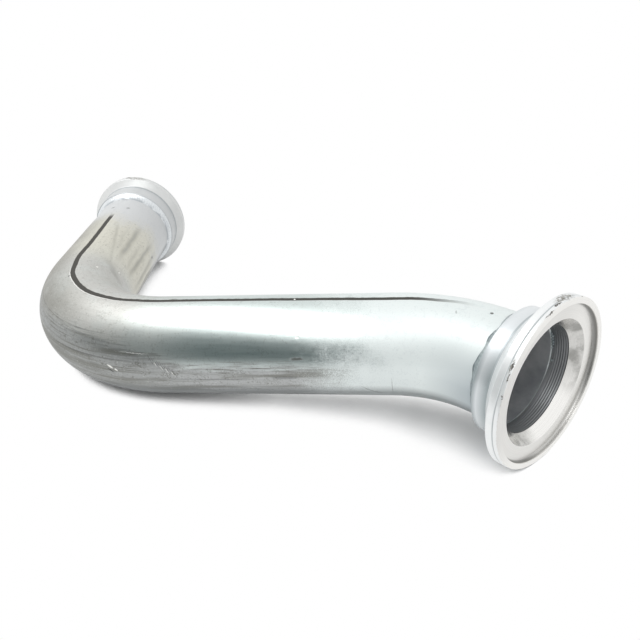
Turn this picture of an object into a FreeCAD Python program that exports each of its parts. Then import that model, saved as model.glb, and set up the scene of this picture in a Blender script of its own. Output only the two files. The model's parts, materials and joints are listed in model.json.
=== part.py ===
"""Exhaust downpipe: a tube bent twice in one plane, with a turned clamp flange welded to each end.

Lengths are in millimetres and angles in degrees. The pipe is first drawn in its own frame, with its main straight
along +X and both bends in the XY plane, and is then laid down on the floor as it comes to rest.
"""
import FreeCAD, Part
import math
import os
from collections import namedtuple

# Tube
tube_diameter = 101.6
tube_wall = 2.0
bend_radius = 152.4
rear_bend_angle = 84.0
front_bend_angle = 38.4
rear_straight = 201.0
main_straight = 237.0
front_straight = 29.0

# How the tube sits in the flanges
tube_insert = 10.0
socket_clearance = 0.3

# Turned form that both flanges share
hub_length = 42.0
hub_edge_chamfer = 1.0
rim_front_chamfer = 0.8
rim_back_chamfer = 0.6
clamp_taper_angle = 35.0
hub_root_fillet = 1.5
lip_width = 5.2
recess_depth = 5.0
recess_fillet = 2.0
seat_half_angle = 41.0

# Front flange: the hub's wall, the rim's height above the hub and the seat's width are measured along the radius
front_hub_wall = 9.4
front_rim_height = 20.0
front_rim_width = 12.0
front_seat_width = 8.9
front_groove_place = 4.8
front_groove_width = 1.6
front_groove_depth = 0.7

# Rear flange
rear_hub_wall = 5.9
rear_rim_height = 9.5
rear_rim_width = 10.0
rear_seat_width = 4.4
rear_groove_place = 3.6
rear_groove_width = 1.2
rear_groove_depth = 0.5

# Fillet welds: length along the tube, bulge of the face, and the strip of hub end left bare outside the bead
front_weld_length = 10.0
rear_weld_length = 10.0
weld_bulge = 0.9
weld_margin = 0.3

Vector = FreeCAD.Vector
Flange = namedtuple("Flange", "hub rim rim_width seat groove_place groove_width groove_depth")

X_AXIS = Vector(1, 0, 0)
Z_AXIS = Vector(0, 0, 1)
DOWN = Vector(0, 0, -1)
REST_STEPS = 12
REST_NUDGE = 1e-4
BEND_SAMPLES = 720

tube_radius = tube_diameter / 2
tube_bore_radius = tube_radius - tube_wall
socket_radius = tube_radius + socket_clearance
tube_setback = hub_length - tube_insert

front_hub = socket_radius + front_hub_wall
rear_hub = socket_radius + rear_hub_wall

# Each flange's hub, rim and seat are radii, and its rim width and groove are measured along its axis
front_form = Flange(
    front_hub, front_hub + front_rim_height, front_rim_width, socket_radius + front_seat_width,
    front_groove_place, front_groove_width, front_groove_depth,
)
rear_form = Flange(
    rear_hub, rear_hub + rear_rim_height, rear_rim_width, socket_radius + rear_seat_width,
    rear_groove_place, rear_groove_width, rear_groove_depth,
)


def plane_direction(angle):
    """Unit vector in the bend plane, at an angle from the main straight."""
    return Vector(math.cos(math.radians(angle)), math.sin(math.radians(angle)), 0)


def rear_bend_point(angle):
    """Centre line point of the rear bend, counted back from the main straight."""
    turn = math.radians(angle)
    return Vector(-bend_radius * math.sin(turn), bend_radius * (1 - math.cos(turn)), 0)


def front_bend_point(angle):
    """Centre line point of the front bend, counted on from the main straight."""
    turn = math.radians(angle)
    return Vector(main_straight + bend_radius * math.sin(turn), -bend_radius * (1 - math.cos(turn)), 0)


# Each end's outward direction, the tube's end there, and the centre of the flange's face
rear_axis = plane_direction(180 - rear_bend_angle)
front_axis = plane_direction(-front_bend_angle)
rear_tube_end = rear_bend_point(rear_bend_angle) + rear_axis * rear_straight
front_tube_end = front_bend_point(front_bend_angle) + front_axis * front_straight
rear_face = rear_tube_end + rear_axis * tube_setback
front_face = front_tube_end + front_axis * tube_setback


def ring_section(centre, axis):
    """The tube's section, square to the axis."""
    outer = Part.Wire(Part.makeCircle(tube_radius, centre, axis))
    inner = Part.Wire(Part.makeCircle(tube_bore_radius, centre, axis))
    return Part.makeFace([outer, inner], "Part::FaceMakerBullseye")


def make_tube():
    """The bent tube, from its rear end to its front end: straights are extruded and bends are revolved."""
    rear_bend_start = rear_bend_point(rear_bend_angle)
    rear_centre = Vector(0, bend_radius, 0)
    front_centre = Vector(main_straight, -bend_radius, 0)
    rear_run = ring_section(rear_tube_end, rear_axis).extrude(rear_axis * -rear_straight)
    rear_bend = ring_section(rear_bend_start, rear_axis).revolve(rear_centre, Z_AXIS, rear_bend_angle)
    main_run = ring_section(Vector(0, 0, 0), X_AXIS).extrude(X_AXIS * main_straight)
    front_bend = ring_section(Vector(main_straight, 0, 0), X_AXIS).revolve(front_centre, -Z_AXIS, front_bend_angle)
    front_run = ring_section(front_tube_end, front_axis).extrude(front_axis * -front_straight)
    return rear_run.multiFuse([rear_bend, main_run, front_bend, front_run]).removeSplitter()


def revolved(points):
    """Solid of revolution about X. A point is (x, radius); a point with a third value is rounded by that radius."""
    corners = [Vector(point[0], 0, point[1]) for point in points]
    edges = []
    starts, ends = [], []
    for index, point in enumerate(points):
        corner = corners[index]
        before = corners[index - 1]
        after = corners[(index + 1) % len(points)]
        if len(point) == 2:
            starts.append(corner)
            ends.append(corner)
            continue
        to_before = (before - corner).normalize()
        to_after = (after - corner).normalize()
        half = to_before.getAngle(to_after) / 2
        inset = point[2] / math.tan(half)
        middle = corner + (to_before + to_after).normalize() * (point[2] / math.sin(half) - point[2])
        starts.append(corner + to_before * inset)
        ends.append(corner + to_after * inset)
        edges.append(Part.Arc(starts[-1], middle, ends[-1]).toShape())
    for index, end in enumerate(ends):
        edges.append(Part.makeLine(end, starts[(index + 1) % len(points)]))
    outline = Part.Wire(Part.__sortEdges__(edges))
    return Part.Face(outline).revolve(Vector(0, 0, 0), X_AXIS, 360)


def make_flange(form):
    """A turned clamp flange with its face at x = 0 and its hub towards -X."""
    hub, rim = form.hub, form.rim
    lip = rim - rim_front_chamfer - lip_width
    taper_run = (rim - rim_back_chamfer - hub) * math.tan(math.radians(clamp_taper_angle))
    seat_end = recess_depth + (form.seat - socket_radius) / math.tan(math.radians(seat_half_angle))
    groove_half = form.groove_width / 2
    return revolved([
        (-hub_length, socket_radius),
        (-hub_length, hub - hub_edge_chamfer),
        (-hub_length + hub_edge_chamfer, hub),
        (-form.rim_width - taper_run, hub, hub_root_fillet),
        (-form.rim_width, rim - rim_back_chamfer),
        (-form.rim_width + rim_back_chamfer, rim),
        (-form.groove_place - groove_half, rim),
        (-form.groove_place, rim - form.groove_depth),
        (-form.groove_place + groove_half, rim),
        (-rim_front_chamfer, rim),
        (0, rim - rim_front_chamfer),
        (0, lip),
        (-recess_depth, lip, recess_fillet),
        (-recess_depth, form.seat),
        (-seat_end, socket_radius),
    ])


def make_weld_bead(form, length):
    """A fillet weld on the tube, against the hub's end, with a slightly rounded face."""
    toe = Vector(-hub_length - length, 0, tube_radius)
    root = Vector(-hub_length, 0, tube_radius)
    top = Vector(-hub_length, 0, form.hub - hub_edge_chamfer - weld_margin)
    face = top - toe
    crown = (toe + top) * 0.5 + Vector(-face.z, 0, face.x).normalize() * weld_bulge
    outline = Part.Wire([
        Part.makeLine(toe, root),
        Part.makeLine(root, top),
        Part.Arc(top, crown, toe).toShape(),
    ])
    return Part.Face(outline).revolve(Vector(0, 0, 0), X_AXIS, 360)


def at_end(shape, face, axis):
    """Moves a turned piece from the X axis to one end of the pipe."""
    shape.Placement = FreeCAD.Placement(face, FreeCAD.Rotation(X_AXIS, axis))
    return shape


def rim_depth(face, axis, form, down):
    """How far down a flange's rim reaches."""
    lean = axis.dot(down)
    land_place = rim_front_chamfer
    if lean < 0:
        land_place = form.rim_width - rim_back_chamfer
    return face.dot(down) - land_place * lean + form.rim * math.sqrt(1 - lean ** 2)


def belly_depth(down):
    """How far down the outside of the rear bend reaches."""
    depths = []
    for index in range(BEND_SAMPLES + 1):
        angle = rear_bend_angle * index / BEND_SAMPLES
        lean = plane_direction(-angle).dot(down)
        depths.append(rear_bend_point(angle).dot(down) + tube_radius * math.sqrt(1 - lean ** 2))
    return max(depths)


def support_gaps(slope_x, slope_y):
    """Height of each rim above the rear bend's belly, for a floor with these slopes in the pipe's own frame."""
    down = Vector(slope_x, slope_y, -1).normalize()
    belly = belly_depth(down)
    front = rim_depth(front_face, front_axis, front_form, down)
    rear = rim_depth(rear_face, rear_axis, rear_form, down)
    return front - belly, rear - belly


def floor_slopes():
    """Slopes of the floor that both rims and the rear bend's belly touch, by Newton's method."""
    slope_x = slope_y = 0.0
    for _ in range(REST_STEPS):
        front, rear = support_gaps(slope_x, slope_y)
        front_x, rear_x = support_gaps(slope_x + REST_NUDGE, slope_y)
        front_y, rear_y = support_gaps(slope_x, slope_y + REST_NUDGE)
        a = (front_x - front) / REST_NUDGE
        b = (front_y - front) / REST_NUDGE
        c = (rear_x - rear) / REST_NUDGE
        d = (rear_y - rear) / REST_NUDGE
        determinant = a * d - b * c
        slope_x -= (d * front - b * rear) / determinant
        slope_y -= (a * rear - c * front) / determinant
    return slope_x, slope_y


def lie_down(shapes):
    """Lays the pipe on the floor, main straight along X, with the middle of its footprint at the origin."""
    slope_x, slope_y = floor_slopes()
    tip = FreeCAD.Rotation(Vector(slope_x, slope_y, -1), DOWN)
    run = tip.multVec(X_AXIS)
    heading = FreeCAD.Rotation(Z_AXIS, -math.degrees(math.atan2(run.y, run.x)))
    turn = FreeCAD.Placement(Vector(0, 0, 0), heading * tip)
    for shape in shapes:
        shape.Placement = turn * shape.Placement
    box = Part.makeCompound(shapes).optimalBoundingBox(False, False)
    shift = FreeCAD.Placement(Vector(-box.Center.x, -box.Center.y, -box.ZMin), FreeCAD.Rotation())
    for shape in shapes:
        shape.Placement = shift * shape.Placement


pieces = {
    "bent_tube": make_tube(),
    "front_flange": at_end(make_flange(front_form), front_face, front_axis),
    "rear_flange": at_end(make_flange(rear_form), rear_face, rear_axis),
    "front_weld_bead": at_end(make_weld_bead(front_form, front_weld_length), front_face, front_axis),
    "rear_weld_bead": at_end(make_weld_bead(rear_form, rear_weld_length), rear_face, rear_axis),
}
lie_down(list(pieces.values()))

os.makedirs("parts", exist_ok=True)
for name, shape in pieces.items():
    shape.exportStep(f"parts/{name}.step")
    print(name, "valid", shape.isValid(), "solids", len(shape.Solids), "volume", round(shape.Volume, 1))
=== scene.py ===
"""Looks of an exhaust downpipe: an aluminised steel tube with painted, turned flanges welded to its ends.

Lengths are in metres and angles in radians, unless a name ends in _mm or _deg. Each piece is modelled on the
straight pipe, with the centre line along X and the top towards Z. It is then bent as the tube is, and laid
where the part lies.
"""
import functools
import json
import math
from collections import namedtuple

import bmesh
import bpy
from bpy.props import FloatProperty, PointerProperty, StringProperty
from bpy.types import Operator, Panel, PropertyGroup
from mathutils import Matrix, Vector, noise


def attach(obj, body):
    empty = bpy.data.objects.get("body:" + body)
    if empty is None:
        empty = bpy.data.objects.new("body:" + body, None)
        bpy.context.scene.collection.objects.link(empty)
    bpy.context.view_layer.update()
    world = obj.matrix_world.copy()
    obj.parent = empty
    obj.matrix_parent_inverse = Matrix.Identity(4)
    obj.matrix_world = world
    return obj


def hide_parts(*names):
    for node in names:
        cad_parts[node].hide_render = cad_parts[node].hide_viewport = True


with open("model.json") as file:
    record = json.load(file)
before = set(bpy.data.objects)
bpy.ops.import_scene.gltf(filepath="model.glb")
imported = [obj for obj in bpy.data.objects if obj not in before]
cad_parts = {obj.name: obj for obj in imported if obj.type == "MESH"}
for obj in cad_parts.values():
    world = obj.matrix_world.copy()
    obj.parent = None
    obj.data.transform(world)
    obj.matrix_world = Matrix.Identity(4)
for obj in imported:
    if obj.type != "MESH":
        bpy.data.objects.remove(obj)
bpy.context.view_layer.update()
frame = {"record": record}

bl_info = {
    "name": "Exhaust Downpipe",
    "version": (1, 0, 0),
    "blender": (4, 5, 0),
    "location": "3D View > Sidebar > Downpipe",
    "description": "Dresses the packed exhaust downpipe and sets its studio",
    "category": "Object",
}

MM = 0.001
X_AXIS = Vector((1, 0, 0))
Z_AXIS = Vector((0, 0, 1))

# The tube and its two bends
TUBE_RADIUS = 50.8 * MM
TUBE_WALL = 2.0 * MM
BEND_RADIUS = 152.4 * MM
REAR_BEND = math.radians(84.0)
FRONT_BEND = math.radians(38.4)
REAR_STRAIGHT = 201.0 * MM
MAIN_STRAIGHT = 237.0 * MM
FRONT_STRAIGHT = 29.0 * MM

# Turned form that both flanges share
HUB_LENGTH = 42.0 * MM
TUBE_INSERT = 10.0 * MM
SOCKET_RADIUS = TUBE_RADIUS + 0.3 * MM
HUB_EDGE_CHAMFER = 1.0 * MM
RIM_FRONT_CHAMFER = 0.8 * MM
RIM_BACK_CHAMFER = 0.6 * MM
CLAMP_TAPER = math.radians(35.0)
HUB_ROOT_FILLET = 1.5 * MM
LIP_WIDTH = 5.2 * MM
RECESS_DEPTH = 5.0 * MM
RECESS_FILLET = 2.0 * MM
SEAT_HALF_ANGLE = math.radians(41.0)
TURNED_EDGE = 0.25 * MM
BORE_RIDGE_PITCH = 2.4 * MM
BORE_RIDGE_DEPTH = 0.4 * MM
WELD_MARGIN = 0.3 * MM

Flange = namedtuple(
    "Flange", "name hub rim rim_width seat groove_place groove_width groove_depth weld_length",
)
FRONT = Flange("front", 60.5 * MM, 80.5 * MM, 12.0 * MM, 60.0 * MM, 4.8 * MM, 1.6 * MM, 0.7 * MM, 10.0 * MM)
REAR = Flange("rear", 57.0 * MM, 66.5 * MM, 10.0 * MM, 55.5 * MM, 3.6 * MM, 1.2 * MM, 0.5 * MM, 10.0 * MM)

# Distances along the centre line from the start of the main straight
FRONT_BEND_RUN = MAIN_STRAIGHT + BEND_RADIUS * FRONT_BEND
REAR_BEND_RUN = -BEND_RADIUS * REAR_BEND
FRONT_TUBE_RUN = FRONT_BEND_RUN + FRONT_STRAIGHT
REAR_TUBE_RUN = REAR_BEND_RUN - REAR_STRAIGHT
FRONT_FACE_RUN = FRONT_TUBE_RUN + HUB_LENGTH - TUBE_INSERT
REAR_FACE_RUN = REAR_TUBE_RUN - HUB_LENGTH + TUBE_INSERT

# Mesh steps
TUBE_SEGMENTS = 200
TUBE_STEPS = 264
BORE_STEPS = 100
SEAM_CROWDING = 0.6
FLANGE_SEGMENTS = 256
WELD_SEGMENTS = 512
MERGE_DISTANCE = 1e-6
SHARP_EDGE = math.radians(28)

# The seam's path: millimetres along the pipe, and degrees round from the top towards the front
SEAM_PATH = (
    (-425, -2.5), (-339, -3.0), (-246, -5.1), (-189, -3.5), (-154, 0.2), (-95, 1.6), (-59, -0.4), (-21, -3.4),
    (24, -3.6), (102, -3.0), (163, -1.8), (236, -0.2), (278, -2.3), (305, -5.5), (369, -6.5),
)
SEAM_DEPTH = 0.3 * MM
SEAM_EDGE = 0.6 * MM

# Folds that the bending pressed into the inner side of the rear leg: where each starts and ends, and its size
Fold = namedtuple("Fold", "start_mm start_deg end_mm end_deg width_mm depth_mm")
FOLDS = (
    Fold(-321, -20, -217, -45, 5, 0.5),
    Fold(-312, -37, -250, -43, 5, 0.4),
    Fold(-338, -51, -241, -52, 8, 0.9),
    Fold(-332, -80, -232, -78, 7, 0.9),
    Fold(-300, -66, -236, -68, 6, 0.5),
    Fold(-215, -44, -172, -68, 14, 0.7),
    Fold(-330, -97, -240, -102, 8, 0.8),
    Fold(-325, -113, -270, -115, 8, 0.8),
)
FOLD_FADE = 22.0 * MM
FOLD_WANDER = 2.0 * MM
FOLD_WAVE = 20.0 * MM
UNEVENNESS = 0.05 * MM
UNEVEN_WAVE = 24.0 * MM

# Wear on the unrolled tube: place along the pipe, place round from the top, length, width and slant
Mark = namedtuple("Mark", "run_mm round_deg length_mm width_mm slant_deg")
LIGHT_MARKS = (
    Mark(-36, 87.5, 7, 3, 40),
    Mark(-31, 91, 4, 2, 40),
    Mark(-13, 68.2, 30, 1.0, 4),
    Mark(150, 51, 4, 3, 0),
    Mark(142, -2.2, 2.0, 4, 0),
    Mark(-180, -31, 5, 3, 30),
    Mark(-206, -62, 6, 2, 20),
    *(Mark(5 + 5.4 * step, 81 + 4.0 * step, 0.8, 7, -24) for step in range(4)),
)
DARK_MARKS = (
    Mark(149, 74.5, 16, 4.0, 0),
    Mark(335, 1, 4, 4, 0),
    Mark(-152, 5, 6, 3, 30),
    Mark(-373, 6, 7, 3, 60),
    Mark(-373, -18, 8, 2.6, 60),
    Mark(-323, -97, 5, 4, 0),
    Mark(-36, 93, 8, 2.2, 40),
)
FAINT_MARKS = (
    Mark(-118, 49.5, 200, 1.2, 0),
    Mark(135, 98, 32, 5, 0),
    Mark(217, 119, 28, 1.8, 40),
    Mark(224, 124, 20, 1.6, 25),
    Mark(239, 111, 1.4, 30, 0),
    Mark(304, 13.7, 6, 2.2, 60),
    Mark(-60, 78, 120, 2.5, 0),
    Mark(60, 101, 110, 2.0, 0),
    *(Mark(1 + 2.7 * step, 76 + 2.0 * step, 1.3, 15, -24) for step in range(9)),
)

# Marks on a rim, in the same units: how far behind the face, and round from the top
RIM_CHIPS = (
    Mark(1.4, 68.5, 1.8, 6, 0),
    Mark(1.6, 57, 1.6, 10, 0),
    Mark(2.0, 50, 2.4, 9, 0),
    Mark(0.9, 12, 1.4, 16, 0),
    Mark(2.6, 2, 3.4, 12, 0),
    Mark(1.0, -24, 1.2, 6, 0),
    Mark(1.0, 166, 2.0, 8, 0),
    Mark(1.4, -120, 2.0, 9, 0),
)
RIM_SCUFFS = (
    Mark(6.0, -9, 12.0, 34, 0),
    Mark(3.0, 50, 3.0, 16, 0),
)


def plane_direction(angle):
    """Unit vector in the bend plane, at an angle from the main straight."""
    return Vector((math.cos(angle), math.sin(angle), 0))


def bent(point):
    """Where a point of the straight pipe lies once both bends are made, still in the pipe's own frame."""
    if point.x > MAIN_STRAIGHT:
        turn = min((point.x - MAIN_STRAIGHT) / BEND_RADIUS, FRONT_BEND)
        side = plane_direction(math.pi / 2 - turn)
        past = point.x - MAIN_STRAIGHT - turn * BEND_RADIUS
        middle = Vector((MAIN_STRAIGHT, -BEND_RADIUS, 0)) + BEND_RADIUS * side + past * plane_direction(-turn)
    elif point.x < 0:
        turn = min(-point.x / BEND_RADIUS, REAR_BEND)
        side = plane_direction(math.pi / 2 - turn)
        past = -point.x - turn * BEND_RADIUS
        middle = Vector((0, BEND_RADIUS, 0)) - BEND_RADIUS * side + past * plane_direction(math.pi - turn)
    else:
        return point.copy()
    return middle + side * point.y + Z_AXIS * point.z


def laid_down():
    """Matrix from the pipe's own frame to the row's, from the two clamp rims that the record states."""
    mounts = {mount["name"]: mount for mount in frame["record"]["mounts"]}
    front, rear = mounts["front_clamp_rim"], mounts["rear_clamp_rim"]
    front_axis = Vector(front["axis"]).normalized()
    up = front_axis.cross(Vector(rear["axis"])).normalized()
    along = Matrix.Rotation(FRONT_BEND, 3, up) @ front_axis
    turn = Matrix((along, up.cross(along), up)).transposed()
    land_middle = RIM_FRONT_CHAMFER + front["dims"]["length_mm"] * MM / 2
    face = Vector(front["pos_m"]) + front_axis * land_middle
    return Matrix.Translation(face - turn @ bent(X_AXIS * FRONT_FACE_RUN)) @ turn.to_4x4()


LAID_DOWN = laid_down()


def round_angle(point):
    """Angle of a point of the straight pipe round its centre line, from the top towards the front."""
    return math.atan2(-point.y, point.z)


def smoothstep(low, high, value):
    """0 up to low, 1 from high on, and a soft step between them; low may be the larger."""
    share = min(max((value - low) / (high - low), 0.0), 1.0)
    return share * share * (3 - 2 * share)


def finish_piece(name, build, material, node):
    """Bends and lays down a built mesh, with each point's straight place kept, to stand for a CAD node."""
    layer = build.verts.layers.float_vector.new("straight_mm")
    for vert in build.verts:
        vert[layer] = vert.co / MM
        vert.co = bent(vert.co)
    bmesh.ops.transform(build, matrix=LAID_DOWN, verts=build.verts)
    bmesh.ops.recalc_face_normals(build, faces=build.faces)
    mesh = bpy.data.meshes.new(name)
    build.to_mesh(mesh)
    build.free()
    mesh.polygons.foreach_set("use_smooth", [True] * len(mesh.polygons))
    mesh.set_sharp_from_angle(angle=SHARP_EDGE)
    mesh.materials.append(material)
    piece = bpy.data.objects.new(name, mesh)
    bpy.context.scene.collection.objects.link(piece)
    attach(piece, "root")
    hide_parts(node)


def hex_colour(text):
    """Linear RGBA of an sRGB hex colour."""
    parts = [int(text[i:i + 2], 16) / 255 for i in (1, 3, 5)]
    linear = [p / 12.92 if p <= 0.04045 else ((p + 0.055) / 1.055) ** 2.4 for p in parts]
    return (*linear, 1.0)


def add_node(tree, kind, inputs=(), output=0, **settings):
    """Adds a shader node with its settings, and gives one of its output sockets.

    The inputs are a row for its first sockets, or a dictionary. Each is a socket to link from, a hex colour
    or a value.
    """
    node = tree.nodes.new("ShaderNode" + kind)
    for name, value in settings.items():
        setattr(node, name, value)
    for key, value in inputs.items() if isinstance(inputs, dict) else enumerate(inputs):
        if isinstance(value, bpy.types.NodeSocket):
            tree.links.new(value, node.inputs[key])
        else:
            node.inputs[key].default_value = hex_colour(value) if isinstance(value, str) else value
    return node.outputs[output] if node.outputs else None


# Settings that many nodes share: a fade with soft ends, and a mix of colours
SOFT = {"interpolation_type": "SMOOTHSTEP"}
COLOURS = {"output": 2, "data_type": "RGBA"}


def emptied_tree(owner):
    """Clears the node tree of a material or world, and gives add_node for that tree."""
    owner.use_nodes = True
    owner.node_tree.nodes.clear()
    return functools.partial(add_node, owner.node_tree)


def finish_material(add, colour, metallic, rough, height, strength, distance):
    """Joins a finish's colour, gloss and fine relief to its shader."""
    bump = add("Bump", {"Height": height, "Strength": strength, "Distance": distance})
    shader = add("BsdfPrincipled", {
        "Base Color": colour, "Metallic": metallic, "Roughness": rough, "Normal": bump,
    })
    add("OutputMaterial", {"Surface": shader})


def pipe_places(add):
    """Sockets of a point's place on the straight pipe in mm, its run, its angle round and its radius."""
    place = add("Attribute", output="Vector", attribute_name="straight_mm")
    axes = add("SeparateXYZ", (place,)).node.outputs
    front = add("Math", (axes["Y"], -1.0), operation="MULTIPLY")
    angle = add("Math", (front, axes["Z"]), operation="ARCTAN2")
    section = add("VectorMath", (place, (0, 1, 1)), operation="MULTIPLY")
    radius = add("VectorMath", (section,), output="Value", operation="LENGTH")
    return place, axes["X"], angle, radius


def mark_mask(add, sheet, marks, radius, share=1.0):
    """Mask of a group of wear marks on an unrolled surface of that radius, each a soft ellipse."""
    masks = []
    for mark in marks:
        middle = (mark.run_mm, math.radians(mark.round_deg) * radius / MM, 0)
        slant = (0, 0, math.radians(mark.slant_deg))
        half_size = (mark.length_mm / 2, mark.width_mm / 2, 1)
        local = add("Mapping", (sheet, middle, slant, half_size), vector_type="TEXTURE")
        reach = add("VectorMath", (local,), output="Value", operation="LENGTH")
        masks.append(add("MapRange", (reach, 1.0, 0.5, 0.0, share), **SOFT))
    return functools.reduce(lambda left, right: add("Math", (left, right), operation="MAXIMUM"), masks)


class DownpipeLooks(PropertyGroup):
    """Sizes and colours that a user would change."""
    seam_width: FloatProperty(
        name="Seam width", description="Width of the dark weld seam along the tube",
        default=5.6 * MM, min=0.0, subtype="DISTANCE", unit="LENGTH",
    )
    weld_ripple: FloatProperty(
        name="Weld ripple", description="Distance between the ripples of a weld bead",
        default=3.4 * MM, min=0.001, subtype="DISTANCE", unit="LENGTH",
    )
    aluminised: StringProperty(
        name="Aluminised steel", description="Colour of the tube's bare coating", default="#CDD6D4",
    )
    dulled: StringProperty(
        name="Dulled coating", description="Colour of the coating where dies rubbed it", default="#C0C0BC",
    )
    dirt: StringProperty(
        name="Dirt", description="Colour of the streaks and stains on the tube", default="#77776F",
    )
    seam: StringProperty(
        name="Seam", description="Colour of the tube's bare weld seam", default="#35332D",
    )
    tube_paint: StringProperty(
        name="Thin paint", description="Colour of the heat paint along the tube", default="#E1E8E7",
    )
    paint: StringProperty(
        name="Silver paint", description="Colour of the heat paint on the flanges", default="#E2E6E8",
    )
    # The rear paint is the silver paint drawn darker: painted shade where the rear end gets less light
    rear_paint: StringProperty(
        name="Shaded rear paint", description="Colour of the paint on the rear hub and tube end", default="#CBCDCE",
    )
    turned_steel: StringProperty(
        name="Turned steel", description="Colour of the bare flange faces", default="#F6F5F2",
    )
    sooty: StringProperty(
        name="Sooty tube", description="Colour of the steel inside the tube", default="#8C9094",
    )
    chipped: StringProperty(
        name="Chipped edge", description="Colour of the rim where paint is knocked off", default="#57534E",
    )


# Zones along the tube, in mm: where a finish starts, where it is full, and what it goes from and to
SOFT_ZONES = {
    "rear_bend": (70, -60),
    "pale_leg": (-190, -250, 0, 0.85),
    "die_line": (-60, 45, math.radians(49.5), math.radians(80.5)),
    "scuffs": (245, 135),
    "seam_front": (325, 255),
    "seam_rear": (-352, -334),
    "scarf_rear": (-185, -150),
    "scarf_front": (-10, -70, 0.2, 0.8),
}
EVEN_ZONES = {
    "rubbed_bend": (-65, -125),
    "front_paint": (124, 258),
    "rear_paint": (-292, -382),
    "shaded_rear_paint": (-280, -320),
    "weld_grime_and_shade": (280, 350, 0, 0.64),
    "soot": (FRONT_TUBE_RUN / MM - 0.1, FRONT_TUBE_RUN / MM - 0.5),
}


def aluminised_steel(looks):
    """Aluminised steel tube: a satin metal whose drawing lines and spangle break up its soft reflections.

    The dies dulled its rear bend and scuffed its lower front side, its weld seam is a dark bare strip, and
    silver heat paint covers both ends.
    """
    material = bpy.data.materials.new("aluminised_steel")
    add = emptied_tree(material)
    place, run, angle, radius = pipe_places(add)
    from_seam = add("Attribute", output="Fac", attribute_name="from_seam_mm")
    folded = add("Attribute", output="Fac", attribute_name="fold_mm")
    zone = {}
    for fade, zones in (("SMOOTHSTEP", SOFT_ZONES), ("LINEAR", EVEN_ZONES)):
        for name, ends in zones.items():
            zone[name] = add("MapRange", (run, *ends), interpolation_type=fade)

    # Drawing lines 1.8 mm wide and spangle of 1.6 mm are coarser than real, so that they show in the render
    line_space = add("Mapping", {"Vector": place, "Scale": (1 / 32, 1 / 1.8, 1 / 1.8)})
    lines = add("TexNoise", {"Vector": line_space, "Scale": 1.0, "Detail": 4.0, "Roughness": 0.6})
    band_space = add("Mapping", {"Vector": place, "Scale": (1 / 90, 1 / 6, 1 / 6)})
    bands = add("TexNoise", {"Vector": band_space, "Scale": 1.0, "Detail": 3.0})
    spangle = add("TexNoise", {"Vector": place, "Scale": 1 / 1.6, "Detail": 3.0, "Roughness": 0.6})
    blotches = add("TexNoise", {"Vector": place, "Scale": 1 / 6, "Detail": 5.0, "Roughness": 0.7})
    clouds = add("TexNoise", {"Vector": place, "Scale": 1 / 38, "Detail": 4.0, "Roughness": 0.6})

    # The rear bend is dull and rubbed, and below a die line the front side is scuffed to a darker grey
    cloudy = add("MapRange", (clouds, 0.25, 0.75, 0.6, 1.3))
    dull = add("Math", (zone["rear_bend"], cloudy), operation="MULTIPLY", use_clamp=True)
    outer_side = add("MapRange", (angle, math.radians(-8), math.radians(32), 0, 0.8))
    darker_side = add("Math", (outer_side, zone["rubbed_bend"]), operation="MULTIPLY")
    darker_side = add("Math", (darker_side, cloudy), operation="MULTIPLY", use_clamp=True)
    below = add("Math", (angle, zone["die_line"]), operation="SUBTRACT")
    ragged = add("MapRange", (lines, 0.3, 0.7, -0.13, 0.13))
    below = add("Math", (below, ragged), operation="ADD")
    scuffed = add("MapRange", (below, -0.06, 0.18), **SOFT)
    scuffed = add("Math", (scuffed, zone["scuffs"]), operation="MULTIPLY")
    scuff_tone = add("Mix", {0: zone["rear_bend"], 6: "#B8BABA", 7: "#A4A6A5"}, **COLOURS)

    # Streaks along the tube and dark and light specks, strongest where it is scuffed, and dirt in the folds
    streaked = add("MapRange", (lines, 0.5, 0.72), **SOFT)
    streak_share = add("MapRange", (scuffed, 0, 1, 0.12, 0.75))
    streaked = add("Math", (streaked, streak_share), operation="MULTIPLY")
    bands = add("MapRange", (bands, 0.48, 0.64, 0, 0.7), **SOFT)
    bands = add("Math", (bands, scuffed), operation="MULTIPLY")
    specks = add("Math", (spangle, blotches), operation="ADD")
    specks = add("MapRange", (specks, 1.0, 1.3), **SOFT)
    speck_share = add("MapRange", (scuffed, 0, 1, 0.25, 0.7))
    speck_share = add("Math", (zone["rear_bend"], 0.15, speck_share), operation="MULTIPLY_ADD")
    speckled = add("Math", (specks, speck_share), operation="MULTIPLY")
    dirty = add("MapRange", (folded, 0.05, 0.9, 0, 0.5))
    dirty = add("Math", (dirty, cloudy), operation="MULTIPLY", use_clamp=True)
    for more in (streaked, bands, speckled):
        dirty = add("Math", (dirty, more), operation="MAXIMUM")
    glints = add("MapRange", (spangle, 0.42, 0.3, 0, 0.3), **SOFT)
    glint_share = add("Math", (zone["rear_bend"], scuffed), operation="MAXIMUM")
    glints = add("Math", (glints, glint_share), operation="MULTIPLY")

    # Heat paint at both ends, thinning to a fine spray, with specks; grime and painted shade low by the front
    # weld
    painted = add("Math", (zone["front_paint"], zone["rear_paint"]), operation="MAXIMUM")
    spray = add("TexNoise", {"Vector": place, "Scale": 1 / 0.9, "Detail": 1.0})
    for pattern in (spray, clouds):
        drift = add("MapRange", (pattern, 0.3, 0.7, -0.16, 0.16))
        painted = add("Math", (painted, drift), operation="ADD")
    painted = add("MapRange", (painted, 0.22, 0.78), **SOFT)
    lower_side = add("MapRange", (angle, math.radians(45), math.radians(90)))
    shade_and_grime = add("Math", (zone["weld_grime_and_shade"], lower_side), operation="MULTIPLY")
    paint_specks = add("Math", (specks, 0.16), operation="MULTIPLY")
    shade_and_grime = add("Math", (shade_and_grime, paint_specks), operation="MAXIMUM")
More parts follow.
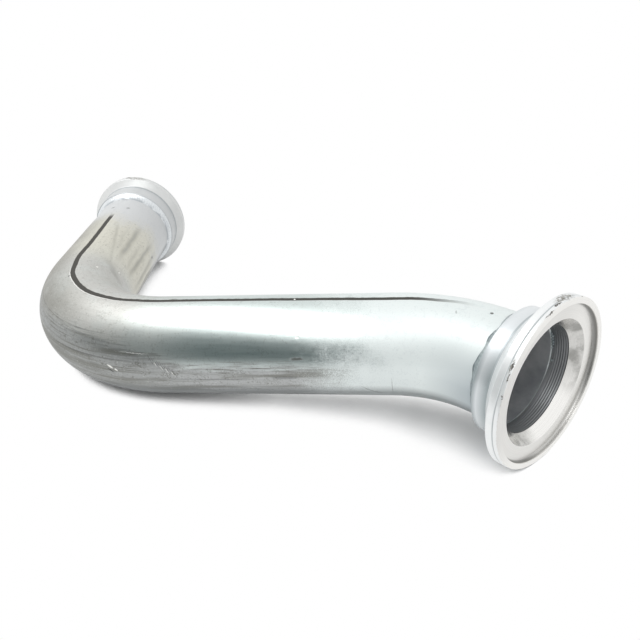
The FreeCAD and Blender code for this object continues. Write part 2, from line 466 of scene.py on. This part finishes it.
    # Towards the rear end the paint is drawn darker, as painted shade
    paint = looks.tube_paint
    for mask, tone in ((zone["shaded_rear_paint"], looks.rear_paint), (shade_and_grime, "#8C98A0")):
        paint = add("Mix", {0: mask, 6: paint, 7: tone}, **COLOURS)
    # Painted shade: the tube's underside is drawn darker, for its reflection of the shadowed floor below
    round_side = add("Math", (angle,), operation="ABSOLUTE")
    painted_underside_shade = add("MapRange", (round_side, math.radians(109), math.radians(124), 0, 0.7))

    # The seam, thinly painted over at its ends, with a bright scarfed line beside it round the bend
    half_mm = looks.seam_width / MM / 2
    wander = add("TexNoise", {"Vector": place, "Scale": 1 / 6, "Detail": 2.0})
    wander = add("MapRange", (wander, 0, 1, -0.5, 0.5))
    off_seam = add("Math", (from_seam, wander), operation="ADD")
    across = add("Math", (off_seam,), operation="ABSOLUTE")
    seam = add("MapRange", (across, half_mm + 0.35, half_mm - 0.35), **SOFT)
    scarf = add("MapRange", (off_seam, half_mm - 0.1, half_mm + 0.4))
    scarf_far = add("MapRange", (off_seam, half_mm + 1.3, half_mm + 0.6))
    for share in (scarf_far, zone["scarf_rear"], zone["scarf_front"]):
        scarf = add("Math", (scarf, share), operation="MULTIPLY")
    for share in (zone["seam_rear"], zone["seam_front"]):
        seam = add("Math", (seam, share), operation="MULTIPLY")

    # Nicks, scratches and smudges, their outlines made ragged
    round_mm = add("Math", (angle, TUBE_RADIUS / MM), operation="MULTIPLY")
    sheet = add("CombineXYZ", (run, round_mm))
    torn = add("TexNoise", {"Vector": place, "Scale": 1 / 2.0}, output="Color")
    torn = add("VectorMath", (torn, (0.5, 0.5, 0.5)), operation="SUBTRACT")
    sheet = add("VectorMath", (torn, (2.0, 2.0, 0.0), sheet), operation="MULTIPLY_ADD")
    nicked = mark_mask(add, sheet, LIGHT_MARKS, TUBE_RADIUS)
    nicked = add("Math", (nicked, scarf), operation="MAXIMUM")
    faint = mark_mask(add, sheet, FAINT_MARKS, TUBE_RADIUS, share=0.42)
    smudged = mark_mask(add, sheet, DARK_MARKS, TUBE_RADIUS, share=0.9)
    smudged = add("Math", (smudged, faint), operation="MAXIMUM")

    # Inside the tube the steel is sooty, and its cut front end is bright
    inside = add("MapRange", (radius, 50.0, 49.4))
    inside = add("Math", (inside, zone["soot"]), operation="MULTIPLY")
    soot = add("MapRange", (clouds, 0.35, 0.65))
    soot = add("Mix", {0: soot, 6: looks.sooty, 7: "#B9BBBD"}, **COLOURS)

    colour = looks.aluminised
    for mask, coat in (
        (dull, looks.dulled), (zone["pale_leg"], "#D3D1C5"), (darker_side, "#908F88"), (scuffed, scuff_tone),
        (dirty, looks.dirt), (glints, "#E2E2DC"), (painted, paint), (painted_underside_shade, "#666B6D"),
        (smudged, "#4A4C49"), (seam, looks.seam), (nicked, "#F4F4F0"), (inside, soot),
    ):
        colour = add("Mix", {0: mask, 6: colour, 7: coat}, **COLOURS)

    # Paint, seam and soot are less of a mirror than the coating is
    dark = add("Math", (seam, smudged), operation="MAXIMUM")
    worn = add("Math", (dull, scuffed), operation="MAXIMUM")
    metallic = add("MapRange", (dull, 0, 1, 1.0, 0.78))
    rough = add("MapRange", (worn, 0, 1, 0.33, 0.46))
    lined = add("MapRange", (lines, 0.3, 0.7, -0.04, 0.05))
    rough = add("Math", (rough, lined), operation="ADD")
    for mask, mirror, blur in ((painted, 0.2, 0.42), (dark, 0.25, 0.6), (inside, 0.3, 0.55)):
        metallic = add("Mix", {0: mask, 2: metallic, 3: mirror})
        rough = add("Mix", {0: mask, 2: rough, 3: blur})
    height = add("Math", (lines, 0.5, spangle), operation="MULTIPLY_ADD")
    height = add("Math", (nicked, -1.5, height), operation="MULTIPLY_ADD")
    finish_material(add, colour, metallic, rough, height, 0.25, 0.2 * MM)
    return material


def painted_turned_steel(looks, form, face_run, outward):
    """Turned steel flange: bare steel with fine turning rings on its face, and silver heat paint outside.

    The conical seat is polished, the bore is sooty, and paint is knocked off in places along the rim.
    """
    material = bpy.data.materials.new(f"painted_turned_steel_{form.name}")
    add = emptied_tree(material)
    place, run, angle, radius = pipe_places(add)
    depth = add("Math", (run, -outward, outward * face_run / MM), operation="MULTIPLY_ADD")
    hub_mm, rim_mm = form.hub / MM, form.rim / MM
    hub_end_mm, recess_mm = HUB_LENGTH / MM, RECESS_DEPTH / MM
    lip_mm = (form.rim - RIM_FRONT_CHAMFER - LIP_WIDTH) / MM
    seat_end_mm = (RECESS_DEPTH + (form.seat - SOCKET_RADIUS) / math.tan(SEAT_HALF_ANGLE)) / MM
    root_mm = (form.rim_width + (form.rim - form.hub) * math.tan(CLAMP_TAPER)) / MM

    # Turning rings are drawn 0.8 mm apart, coarser than real, so that they show in the render
    ring_place = add("CombineXYZ", (depth, radius))
    rings = add("TexNoise", {"Vector": ring_place, "Scale": 1 / 0.8, "Detail": 2.0})
    clouds = add("TexNoise", {"Vector": place, "Scale": 1 / 22, "Detail": 4.0, "Roughness": 0.6})
    peel = add("TexNoise", {"Vector": place, "Scale": 1 / 2.4, "Detail": 2.0})
    chips = add("TexNoise", {"Vector": place, "Scale": 1 / 2.2, "Detail": 3.0})

    # Bare steel lies in front of the rim's front chamfer, inside the lip, and in the bore
    overspray = add("MapRange", (peel, 0.3, 0.7, -0.4, 0.4))
    edge_depth = add("Math", (depth, overspray), operation="ADD")
    in_front = add("MapRange", (edge_depth, 0.9, 0.5))
    shallow = add("MapRange", (depth, 9.0, 8.5))
    inner_limit = add("Mix", {0: shallow, 2: hub_mm - 2.5, 3: lip_mm + 0.4})
    inside = add("Math", (radius, inner_limit), operation="LESS_THAN")
    bare = add("Math", (in_front, inside), operation="MAXIMUM")
    past_recess = add("MapRange", (depth, recess_mm, recess_mm + 0.4))
    seat = add("Math", (past_recess, inside), operation="MULTIPLY")
    off_seat = add("Math", (1.0, seat), operation="SUBTRACT")
    bore = add("MapRange", (depth, seat_end_mm - 0.1, seat_end_mm + 0.3))
    bore = add("Math", (bore, inside), operation="MULTIPLY")

    # Bands that fade to both sides: middle, how far out each ends and is full, its share and its fade
    bands = []
    for value, middle, outer, inner, share, fade in (
        (angle, math.radians(-74), math.radians(62), math.radians(26), 1.0, "SMOOTHSTEP"),
        (angle, math.radians(146), math.radians(34), math.radians(12), 1.0, "SMOOTHSTEP"),
        (angle, math.radians(80), math.radians(54), math.radians(20), 0.2, "LINEAR"),
        (depth, root_mm + 1.0, 2.0, 0.6, 0.6, "LINEAR"),
        (depth, form.groove_place / MM, form.groove_width / MM * 0.6, 0.3, 0.5, "LINEAR"),
    ):
        off = add("Math", (value, middle), operation="SUBTRACT")
        off = add("Math", (off,), operation="ABSOLUTE")
        bands.append(add("MapRange", (off, outer, inner, 0, share), interpolation_type=fade))
    back_side, low_side, dull_lip, root_shade_line, groove = bands

    # Painted reflection: the polished seat is drawn darker on its back and lower sides, in cloudy patches
    darker_side = add("Math", (back_side, low_side), operation="MAXIMUM")
    painted_seat_reflection = add("MapRange", (clouds, 0.38, 0.62, 0.45, 1.0), **SOFT)
    for share in (darker_side, seat, 0.8):
        painted_seat_reflection = add("Math", (painted_seat_reflection, share), operation="MULTIPLY")

    # Recess floor drawn darker than the lip as painted reflection, less on the back side; painted shade in
    # its corner
    floor_share = add("MapRange", (back_side, 0, 1, 0.16, 0.04))
    recess = add("MapRange", (depth, 1.5, 3.5, 0, floor_share))
    corner = add("MapRange", (depth, 0.6, 1.6))
    near_wall = add("MapRange", (radius, lip_mm - 2.2, lip_mm - 0.8))
    corner_share = add("MapRange", (darker_side, 0, 1, 0.5, 0.9))
    for share in (near_wall, corner_share):
        corner = add("Math", (corner, share), operation="MULTIPLY")
    for more in (corner, dull_lip):
        recess = add("Math", (recess, more), operation="MAXIMUM")
    recess = add("Math", (recess, off_seat), operation="MULTIPLY")

    ring_tone = add("MapRange", (rings, 0.3, 0.7, 0, 0.1))
    steel = looks.turned_steel
    for mask, tone in ((ring_tone, "#8E8D8A"), (painted_seat_reflection, "#777773"), (recess, "#7E7E7C"), (bore, "#9A9C9E")):
        steel = add("Mix", {0: mask, 6: steel, 7: tone}, **COLOURS)

    # Paint, greyer towards the hub's root and end and in the rim's groove
    # Painted shade by the rim's root, stronger on the lower front side, with a thin line of it in the root's
    # corner
    on_hub = add("MapRange", (radius, hub_mm + 1.0, hub_mm + 0.3))
    front_side = add("MapRange", (angle, math.radians(18), math.radians(70), 0.2))
    painted_root_shade = add("MapRange", (depth, root_mm + 13, root_mm, 0, 0.8))
    darker_hub_end = add("MapRange", (depth, hub_end_mm - 7, hub_end_mm - 1, 0, 0.75))
    shade_and_grime = add("Math", (painted_root_shade, darker_hub_end), operation="MAXIMUM")
    shade_and_grime = add("Math", (shade_and_grime, front_side), operation="MULTIPLY")
    shade_and_grime = add("Math", (shade_and_grime, root_shade_line), operation="MAXIMUM")
    shade_and_grime = add("Math", (shade_and_grime, on_hub), operation="MULTIPLY")
    paint_tone = add("MapRange", (clouds, 0.35, 0.75, 0, 0.16))
    for more in (groove, paint_tone):
        shade_and_grime = add("Math", (shade_and_grime, more), operation="MAXIMUM")

    # Paint knocked off the rim, and scuffed thin in wider places, all broken up by noise
    around = add("Math", (angle, rim_mm), operation="MULTIPLY")
    torn = add("MapRange", (peel, 0.3, 0.7, -0.8, 0.8))
    torn = add("Math", (depth, torn), operation="ADD")
    band = add("CombineXYZ", (torn, around))
    at_rim = add("MapRange", (radius, rim_mm - 1.0, rim_mm - 0.6))
    worn = []
    for marks, low, high in ((RIM_CHIPS, 0.36, 0.46), (RIM_SCUFFS, 0.4, 0.58)):
        mask = mark_mask(add, band, marks, form.rim)
        holes = add("MapRange", (chips, low, high))
        mask = add("Math", (mask, holes), operation="MULTIPLY")
        worn.append(add("Math", (mask, at_rim), operation="MULTIPLY"))
    chipped, scuffed = worn

    is_front = form is FRONT
    # Paint copies: front rim drawn whiter than its hub as painted light; rear rim dusty, rear hub darker as
    # painted shade
    colour, hub_colour = ("#F1F3F3", looks.paint) if is_front else ("#DCDDDC", looks.rear_paint)
    for mask, coat in (
        (on_hub, hub_colour), (shade_and_grime, "#7E8B8E"), (bare, steel),
        (scuffed, "#8F8D87"), (chipped, looks.chipped),
    ):
        colour = add("Mix", {0: mask, 6: colour, 7: coat}, **COLOURS)
    metallic = add("MapRange", (bare, 0, 1, 0.5 if is_front else 0.2, 1.0))
    metallic = add("Mix", {0: chipped, 2: metallic, 3: 0.3})
    rough = add("MapRange", (bare, 0, 1, 0.32, 0.36))
    for mask, blur in ((seat, 0.24), (bore, 0.45), (chipped, 0.65)):
        rough = add("Mix", {0: mask, 2: rough, 3: blur})
    height = add("Mix", {0: bare, 2: peel, 3: rings})
    for mask, drop in ((chipped, -1.0), (scuffed, -0.5)):
        height = add("Math", (mask, drop, height), operation="MULTIPLY_ADD")
    finish_material(add, colour, metallic, rough, height, 0.3, 0.2 * MM)
    return material


def painted_weld(looks, form):
    """Weld metal under silver heat paint: pale, uneven, greyer where thin, and with painted shade in its
    hollows.
    """
    material = bpy.data.materials.new(f"painted_weld_metal_{form.name}")
    add = emptied_tree(material)
    place, _, _, radius = pipe_places(add)
    raised = add("Attribute", output="Fac", attribute_name="raised_mm")
    grain = add("TexNoise", {"Vector": place, "Scale": 1 / 2.6, "Detail": 4.0})
    patches = add("TexNoise", {"Vector": place, "Scale": 1 / 14, "Detail": 3.0})
    # Painted shade between the ripples and lumps; the spatter drops, given a low raised value, come out
    # darker too
    hollow_shade = add("MapRange", (raised, -0.35, -1.1, 0, 0.7))
    thin_and_shaded = add("MapRange", (grain, 0.5, 0.72, 0, 0.5))
    thin_and_shaded = add("Math", (hollow_shade, thin_and_shaded), operation="ADD", use_clamp=True)
    toe = add("MapRange", (radius, TUBE_RADIUS / MM + 2.2, TUBE_RADIUS / MM + 0.4))
    ragged = add("MapRange", (patches, 0.42, 0.54))
    toe = add("Math", (toe, ragged), operation="MULTIPLY")
    thin_and_shaded = add("Math", (thin_and_shaded, toe), operation="MAXIMUM")
    # The front weld is drawn greyer than the rear one, as painted shade where it faces away from the light
    coat, bare = ("#A5AEB0", "#697478") if form is FRONT else (looks.paint, "#B3B8BC")
    colour = add("Mix", {0: thin_and_shaded, 6: coat, 7: bare}, **COLOURS)
    rough = add("MapRange", (thin_and_shaded, 0, 1, 0.3, 0.5))
    finish_material(add, colour, 0.6, rough, grain, 0.35, 0.4 * MM)
    return material


def seam_angle(run):
    """Angle of the tube's seam at a run along the pipe."""
    run_mm = run / MM
    for (start, first), (end, last) in zip(SEAM_PATH, SEAM_PATH[1:]):
        if run_mm <= end:
            return math.radians(first + (last - first) * smoothstep(start, end, run_mm))
    return math.radians(SEAM_PATH[-1][1])


def fold_depth(run, angle):
    """How deep the folds of the rear leg are at a place on the tube."""
    deepest = 0.0
    for fold in FOLDS:
        start, end = fold.start_mm * MM, fold.end_mm * MM
        if not start - FOLD_FADE < run < end + FOLD_FADE:
            continue
        share = (run - start) / (end - start)
        middle = math.radians(fold.start_deg + (fold.end_deg - fold.start_deg) * share)
        wander = FOLD_WANDER * noise.noise(Vector((run / FOLD_WAVE, angle * 2, fold.end_deg)))
        off = (angle - middle) * TUBE_RADIUS + wander
        across = math.exp(-(2 * off / (fold.width_mm * MM)) ** 2)
        begun = smoothstep(start - FOLD_FADE, start + FOLD_FADE, run)
        left = smoothstep(end + FOLD_FADE, end - FOLD_FADE, run)
        deepest = max(deepest, fold.depth_mm * MM * across * begun * left)
    return deepest


def tube_relief(run, angle, seam_half):
    """Depth of the tube's outer wall below its full radius: the seam, the folds and a slight unevenness."""
    off_seam = abs(angle - seam_angle(run)) * TUBE_RADIUS
    seam = SEAM_DEPTH * smoothstep(seam_half + SEAM_EDGE / 2, seam_half - SEAM_EDGE / 2, off_seam)
    place = Vector((run, TUBE_RADIUS * math.sin(angle), TUBE_RADIUS * math.cos(angle)))
    uneven = UNEVENNESS * (1 + noise.noise(place / UNEVEN_WAVE))
    return seam + uneven + fold_depth(run, angle)


def rolled_tube(seam_half):
    """The straight tube: one sheet rolled round it, out along its outer wall and back along its bore."""
    length = FRONT_TUBE_RUN - REAR_TUBE_RUN
    outer = [(REAR_TUBE_RUN + length * index / TUBE_STEPS, True) for index in range(TUBE_STEPS + 1)]
    bore = [(FRONT_TUBE_RUN - length * index / BORE_STEPS, False) for index in range(BORE_STEPS + 1)]
    stations = outer + bore + outer[:1]
    last = len(stations) - 1
    build = bmesh.new()
    bmesh.ops.create_grid(build, x_segments=last, y_segments=TUBE_SEGMENTS, size=0.5)
    for vert in build.verts:
        run, is_outer = stations[round((vert.co.x + 0.5) * last)]
        turn = vert.co.y * math.tau
        angle = turn - SEAM_CROWDING * math.sin(turn)
        reach = TUBE_RADIUS - (tube_relief(run, angle, seam_half) if is_outer else TUBE_WALL)
        vert.co = (run, -reach * math.sin(angle), reach * math.cos(angle))
    bmesh.ops.remove_doubles(build, verts=build.verts, dist=MERGE_DISTANCE)
    return build


class DOWNPIPE_OT_tube(Operator):
    """Roll the tube with its seam and bend it"""
    bl_idname = "downpipe.tube"
    bl_label = "Bent Tube"

    def execute(self, context):
        looks = context.scene.downpipe
        build = rolled_tube(looks.seam_width / 2)
        from_seam = build.verts.layers.float.new("from_seam_mm")
        folded = build.verts.layers.float.new("fold_mm")
        for vert in build.verts:
            angle = round_angle(vert.co)
            vert[from_seam] = (angle - seam_angle(vert.co.x)) * TUBE_RADIUS / MM
            vert[folded] = fold_depth(vert.co.x, angle) / MM
        finish_piece("dressed_tube", build, aluminised_steel(looks), "bent_tube")
        return {"FINISHED"}


def flange_outline(form):
    """Corners of a flange's section as (x, radius, rounding), face at x = 0 and hub towards -X."""
    lip = form.rim - RIM_FRONT_CHAMFER - LIP_WIDTH
    taper_run = (form.rim - RIM_BACK_CHAMFER - form.hub) * math.tan(CLAMP_TAPER)
    seat_end = RECESS_DEPTH + (form.seat - SOCKET_RADIUS) / math.tan(SEAT_HALF_ANGLE)
    groove_half = form.groove_width / 2
    outline = [
        (-HUB_LENGTH, SOCKET_RADIUS, 0),
        (-HUB_LENGTH, form.hub - HUB_EDGE_CHAMFER, TURNED_EDGE),
        (-HUB_LENGTH + HUB_EDGE_CHAMFER, form.hub, TURNED_EDGE),
        (-form.rim_width - taper_run, form.hub, HUB_ROOT_FILLET),
        (-form.rim_width, form.rim - RIM_BACK_CHAMFER, TURNED_EDGE),
        (-form.rim_width + RIM_BACK_CHAMFER, form.rim, TURNED_EDGE),
        (-form.groove_place - groove_half, form.rim, 0),
        (-form.groove_place, form.rim - form.groove_depth, 0),
        (-form.groove_place + groove_half, form.rim, 0),
        (-RIM_FRONT_CHAMFER, form.rim, TURNED_EDGE),
        (0, form.rim - RIM_FRONT_CHAMFER, TURNED_EDGE),
        (0, lip, TURNED_EDGE),
        (-RECESS_DEPTH, lip, RECESS_FILLET),
        (-RECESS_DEPTH, form.seat, TURNED_EDGE),
        (-seat_end, SOCKET_RADIUS, TURNED_EDGE),
    ]
    ridge = seat_end + BORE_RIDGE_PITCH
    while ridge < HUB_LENGTH - TUBE_INSERT:
        outline.append((-ridge + BORE_RIDGE_PITCH / 2, SOCKET_RADIUS + BORE_RIDGE_DEPTH, 0))
        outline.append((-ridge, SOCKET_RADIUS, 0))
        ridge += BORE_RIDGE_PITCH
    return outline


def turned(outline, segments, face_run, outward):
    """A turned ring at one end of the straight pipe: a quarter is spun round X and mirrored to the whole."""
    build = bmesh.new()
    corners = [build.verts.new((x, 0, radius)) for x, radius, _ in outline]
    build.faces.new(corners)
    for corner, (_, _, rounding) in zip(corners, outline):
        if rounding:
            bmesh.ops.bevel(
                build, geom=[corner], offset=rounding, offset_type="OFFSET", affect="VERTICES", segments=4,
                profile=0.5, material=-1,
            )
    section = list(build.edges)
    bmesh.ops.delete(build, geom=list(build.faces), context="FACES_ONLY")
    bmesh.ops.spin(build, geom=section, cent=(0, 0, 0), axis=X_AXIS, angle=math.pi / 2, steps=segments // 4)
    for axis in ("Y", "Z"):
        whole = build.verts[:] + build.edges[:] + build.faces[:]
        bmesh.ops.mirror(build, geom=whole, merge_dist=MERGE_DISTANCE, axis=axis)
    bmesh.ops.remove_doubles(build, verts=build.verts, dist=MERGE_DISTANCE)
    facing = Matrix.Translation(X_AXIS * face_run) @ Matrix.Diagonal((outward, 1, 1, 1))
    bmesh.ops.transform(build, matrix=facing, verts=build.verts)
    bmesh.ops.recalc_face_normals(build, faces=build.faces)
    return build


ENDS = ((FRONT, FRONT_FACE_RUN, 1), (REAR, REAR_FACE_RUN, -1))


class DOWNPIPE_OT_flanges(Operator):
    """Turn the two clamp flanges"""
    bl_idname = "downpipe.flanges"
    bl_label = "Clamp Flanges"

    def execute(self, context):
        looks = context.scene.downpipe
        for form, face_run, outward in ENDS:
            build = turned(flange_outline(form), FLANGE_SEGMENTS, face_run, outward)
            finish_piece(
                f"dressed_{form.name}_flange", build, painted_turned_steel(looks, form, face_run, outward),
                f"{form.name}_flange",
            )
        return {"FINISHED"}


# Weld spatter at the tube's end inside the front flange: place round from the top, depth, radius and size
Drop = namedtuple("Drop", "round_deg depth_mm radius_mm size_mm")
SPATTER_HOLLOW_MM = -0.8
SPATTER = (
    Drop(-66, 31.6, 50.2, 1.3), Drop(-70, 31.2, 50.4, 1.7), Drop(-74, 31.5, 50.2, 1.5),
    Drop(-78, 31.0, 50.3, 1.8), Drop(-82, 31.4, 50.4, 1.4), Drop(-86, 31.6, 50.3, 1.1),
    Drop(-101.5, 30.4, 50.6, 1.2),
)

# The weld bead's face is drawn with this many points, and moves in and out by these amounts
WELD_FACE_POINTS = 11
WELD_SAG = 0.5 * MM
RIPPLE_HEIGHT = 0.3 * MM
RIPPLE_CURVE = 0.7
LUMP_HEIGHT = 0.8 * MM
LUMP_WAVES = 5.0
TOE_WANDER = 5.0 * MM
TOE_WAVES = 1.7
FACE_LEAN = 0.7


def weld_outline(form):
    """A fillet weld's section: its root on tube and hub, and a face that sags between toe and top."""
    top = form.hub - HUB_EDGE_CHAMFER - WELD_MARGIN
    outline = [(-HUB_LENGTH, top, 0), (-HUB_LENGTH, TUBE_RADIUS, 0)]
    for index in range(WELD_FACE_POINTS):
        share = index / WELD_FACE_POINTS
        sag = WELD_SAG * math.sin(math.pi * share)
        x = -HUB_LENGTH - form.weld_length * (1 - share) + sag
        outline.append((x, TUBE_RADIUS + (top - TUBE_RADIUS) * share - sag, 0))
    return outline


def add_spatter(build, raised):
    """Adds the drops of weld metal that stick inside the front flange, on the tube's end."""
    for drop in SPATTER:
        angle = math.radians(drop.round_deg)
        place = Vector((FRONT_FACE_RUN / MM - drop.depth_mm, 0, 0))
        place += drop.radius_mm * Vector((0, -math.sin(angle), math.cos(angle)))
        made = bmesh.ops.create_icosphere(
            build, subdivisions=2, radius=drop.size_mm * MM, matrix=Matrix.Translation(place * MM),
        )
        for vert in made["verts"]:
            vert[raised] = SPATTER_HOLLOW_MM


class DOWNPIPE_OT_welds(Operator):
    """Lay the two rippled fillet welds"""
    bl_idname = "downpipe.welds"
    bl_label = "Fillet Welds"

    def execute(self, context):
        looks = context.scene.downpipe
        for form, face_run, outward in ENDS:
            build = turned(weld_outline(form), WELD_SEGMENTS, face_run, outward)
            raised = build.verts.layers.float.new("raised_mm")
            hub_end = face_run - outward * HUB_LENGTH
            for vert in build.verts:
                off_hub = abs(vert.co.x - hub_end)
                radius = vert.co.yz.length
                if off_hub < MERGE_DISTANCE or radius < TUBE_RADIUS - MERGE_DISTANCE:
                    continue
                angle = round_angle(vert.co)
                share = off_hub / form.weld_length
                ripple = angle * TUBE_RADIUS / looks.weld_ripple + RIPPLE_CURVE * share * share
                ripple = math.cos(math.tau * ripple)
                lumps = noise.noise(Vector((math.cos(angle), math.sin(angle), 0.2 * outward)) * LUMP_WAVES)
                lift = share * (1 - share) * 4
                height = lift * (RIPPLE_HEIGHT * 0.5 * (ripple - 1) + LUMP_HEIGHT * 0.5 * (lumps - 0.6))
                creep = noise.noise(Vector((math.cos(angle), math.sin(angle), outward)) * TOE_WAVES)
                toe = share * share * TOE_WANDER * (0.4 + 0.4 * lumps + creep)
                vert[raised] = (height - lift * LUMP_HEIGHT * 0.2) / MM
                vert.co.yz *= (radius + height * FACE_LEAN) / radius
                vert.co.x += outward * (max(toe, 0.0) - height * FACE_LEAN)
            if form is FRONT:
                add_spatter(build, raised)
            finish_piece(
                f"dressed_{form.name}_weld", build, painted_weld(looks, form),
                f"{form.name}_weld_bead",
            )
        return {"FINISHED"}


# Camera and studio
CAMERA_PLACE = Vector((170.46, -710.87, 386.8)) * MM
CAMERA_AZIMUTH = math.radians(9.775)
CAMERA_ELEVATION = math.radians(32.77)
CAMERA_ROLL = math.radians(0.828)
CAMERA_LENS_MM = 37.446
CAMERA_SHIFT_Y = 0.125
ROOM_LIGHT = 0.72
SOFTBOX_SIZE = (1.0, 3.0)
SOFTBOX_PLACE = Vector((-0.6, -0.5, 1.5))
SOFTBOX_TURN = math.radians(27)
SOFTBOX_POWER = 20.0
FLAG_PLACE = Vector((-0.563, -0.42, 0.006))
FLAG_SIZE = (1.2, 1.75)
FLAG_TURN = math.radians(43.6)
FLAG_COLOUR = "#656F70"

# The floor and its shadow: its reach, lean and soft edge, and how it deepens towards the middle of the pipe
FLOOR_SIZE = 12.0
FLOOR_COLOUR = "#F9F9F9"
SHADOW_REACH = 110.0 * MM
SHADOW_LEAN = (0.62, -0.42, 0.66)
SHADOW_EDGE = 0.1
SHADOW_MIDDLE = 0.2
SHADOW_DEPTHS = (0.18, 0.03, 0.2, 0.35)
SHADOW_SAMPLES = 24


def stage_sheet(name, matrix, material):
    """A flat sheet of the studio, one metre square before the matrix."""
    build = bmesh.new()
    bmesh.ops.create_grid(build, x_segments=1, y_segments=1, size=0.5, matrix=matrix)
    mesh = bpy.data.meshes.new(name)
    build.to_mesh(mesh)
    build.free()
    mesh.materials.append(material)
    sheet = bpy.data.objects.new(name, mesh)
    bpy.context.scene.collection.objects.link(sheet)
    return sheet


def seen_rays(add):
    """Socket that is 1 for the camera's rays and for those that metal and glass send on."""
    rays = add("LightPath").node.outputs
    mirrored = add("Math", (rays["Is Glossy Ray"], rays["Is Transmission Ray"]), operation="MAXIMUM")
    return add("Math", (rays["Is Camera Ray"], mirrored), operation="MAXIMUM")


class DOWNPIPE_OT_stage(Operator):
    """Set the floor, the light and the camera"""
    bl_idname = "downpipe.stage"
    bl_label = "Studio"

    def execute(self, context):
        scene = context.scene
        scene.view_settings.view_transform = "Standard"

        # White floor: it glows white to the eye in the open, and keeps the shadow where the pipe overhangs it
        material = bpy.data.materials.new("white_floor")
        add = emptied_tree(material)
        open_air = add("AmbientOcclusion", {
            "Distance": SHADOW_REACH, "Normal": SHADOW_LEAN,
        }, output="AO", samples=SHADOW_SAMPLES)
        place = add("TexCoord", output="Object")
        along = add("SeparateXYZ", (place,), output="X")
        along = add("Math", (along, SHADOW_MIDDLE), operation="SUBTRACT")
        along = add("Math", (along,), operation="ABSOLUTE")
        depth = add("MapRange", (along, *SHADOW_DEPTHS))
        open_air = add("Math", (open_air, depth), operation="SUBTRACT")
        glow_share = add("MapRange", (open_air, 0, SHADOW_EDGE), **SOFT)
        glow_share = add("Math", (glow_share, seen_rays(add)), operation="MULTIPLY")
        matt = add("BsdfDiffuse", {"Color": FLOOR_COLOUR})
        glow = add("Emission", {"Color": "#FFFFFF", "Strength": 1.0})
        mixed = add("MixShader", (glow_share, matt, glow))
        add("OutputMaterial", {"Surface": mixed})
        stage_sheet("floor", Matrix.Scale(FLOOR_SIZE, 4), material)

        # Dark flag standing in front of the pipe: only the metal's reflections see it
        material = bpy.data.materials.new("dark_flag")
        add = emptied_tree(material)
        dark = add("Emission", {"Color": FLAG_COLOUR, "Strength": 1.0})
        add("OutputMaterial", {"Surface": dark})
        upright = Matrix.Rotation(math.pi / 2, 4, "X") @ Matrix.Rotation(FLAG_TURN, 4, "Z")
        placed = Matrix.Translation(FLAG_PLACE) @ upright @ Matrix.Diagonal((*FLAG_SIZE, 1, 1))
        flag = stage_sheet("flag", placed, material)
        flag.visible_camera = False
        flag.visible_diffuse = False
        flag.visible_shadow = False

        world = bpy.data.worlds.new("studio")
        scene.world = world
        add = emptied_tree(world)
        strength = add("MapRange", (seen_rays(add), 0, 1, ROOM_LIGHT, 1.0))
        room = add("Background", {"Color": "#FFFFFF", "Strength": strength})
        add("OutputWorld", {"Surface": room})

        lamp = bpy.data.lights.new("softbox", "AREA")
        lamp.shape = "RECTANGLE"
        lamp.size, lamp.size_y = SOFTBOX_SIZE
        lamp.energy = SOFTBOX_POWER
        softbox = bpy.data.objects.new("softbox", lamp)
        softbox.location = SOFTBOX_PLACE
        softbox.rotation_euler.z = SOFTBOX_TURN
        softbox.visible_camera = False
        scene.collection.objects.link(softbox)

        data = bpy.data.cameras.new("camera")
        data.lens = CAMERA_LENS_MM
        data.sensor_width = 36.0
        data.shift_y = CAMERA_SHIFT_Y
        data.clip_start = 0.01
        camera = bpy.data.objects.new("camera", data)
        scene.collection.objects.link(camera)
        camera.matrix_world = (
            Matrix.Translation(CAMERA_PLACE)
            @ Matrix.Rotation(CAMERA_AZIMUTH, 4, "Z")
            @ Matrix.Rotation(math.pi / 2 - CAMERA_ELEVATION, 4, "X")
            @ Matrix.Rotation(-CAMERA_ROLL, 4, "Z")
        )
        scene.camera = camera
        return {"FINISHED"}


class DOWNPIPE_PT_panel(Panel):
    """Lists the looks and the pieces of the downpipe"""
    bl_idname = "DOWNPIPE_PT_panel"
    bl_label = "Downpipe"
    bl_space_type = "VIEW_3D"
    bl_region_type = "UI"
    bl_category = "Downpipe"

    def draw(self, context):
        for name in DownpipeLooks.__annotations__:
            self.layout.prop(context.scene.downpipe, name)
        for step in STEPS:
            self.layout.operator(step.bl_idname)


STEPS = (DOWNPIPE_OT_tube, DOWNPIPE_OT_flanges, DOWNPIPE_OT_welds, DOWNPIPE_OT_stage)
CLASSES = (DownpipeLooks, *STEPS, DOWNPIPE_PT_panel)


def register():
    for each in CLASSES:
        bpy.utils.register_class(each)
    bpy.types.Scene.downpipe = PointerProperty(type=DownpipeLooks)


def unregister():
    del bpy.types.Scene.downpipe
    for each in reversed(CLASSES):
        bpy.utils.unregister_class(each)


def main():
    register()
    bpy.ops.downpipe.tube()
    bpy.ops.downpipe.flanges()
    bpy.ops.downpipe.welds()
    bpy.ops.downpipe.stage()


if __name__ == "__main__":
    main()
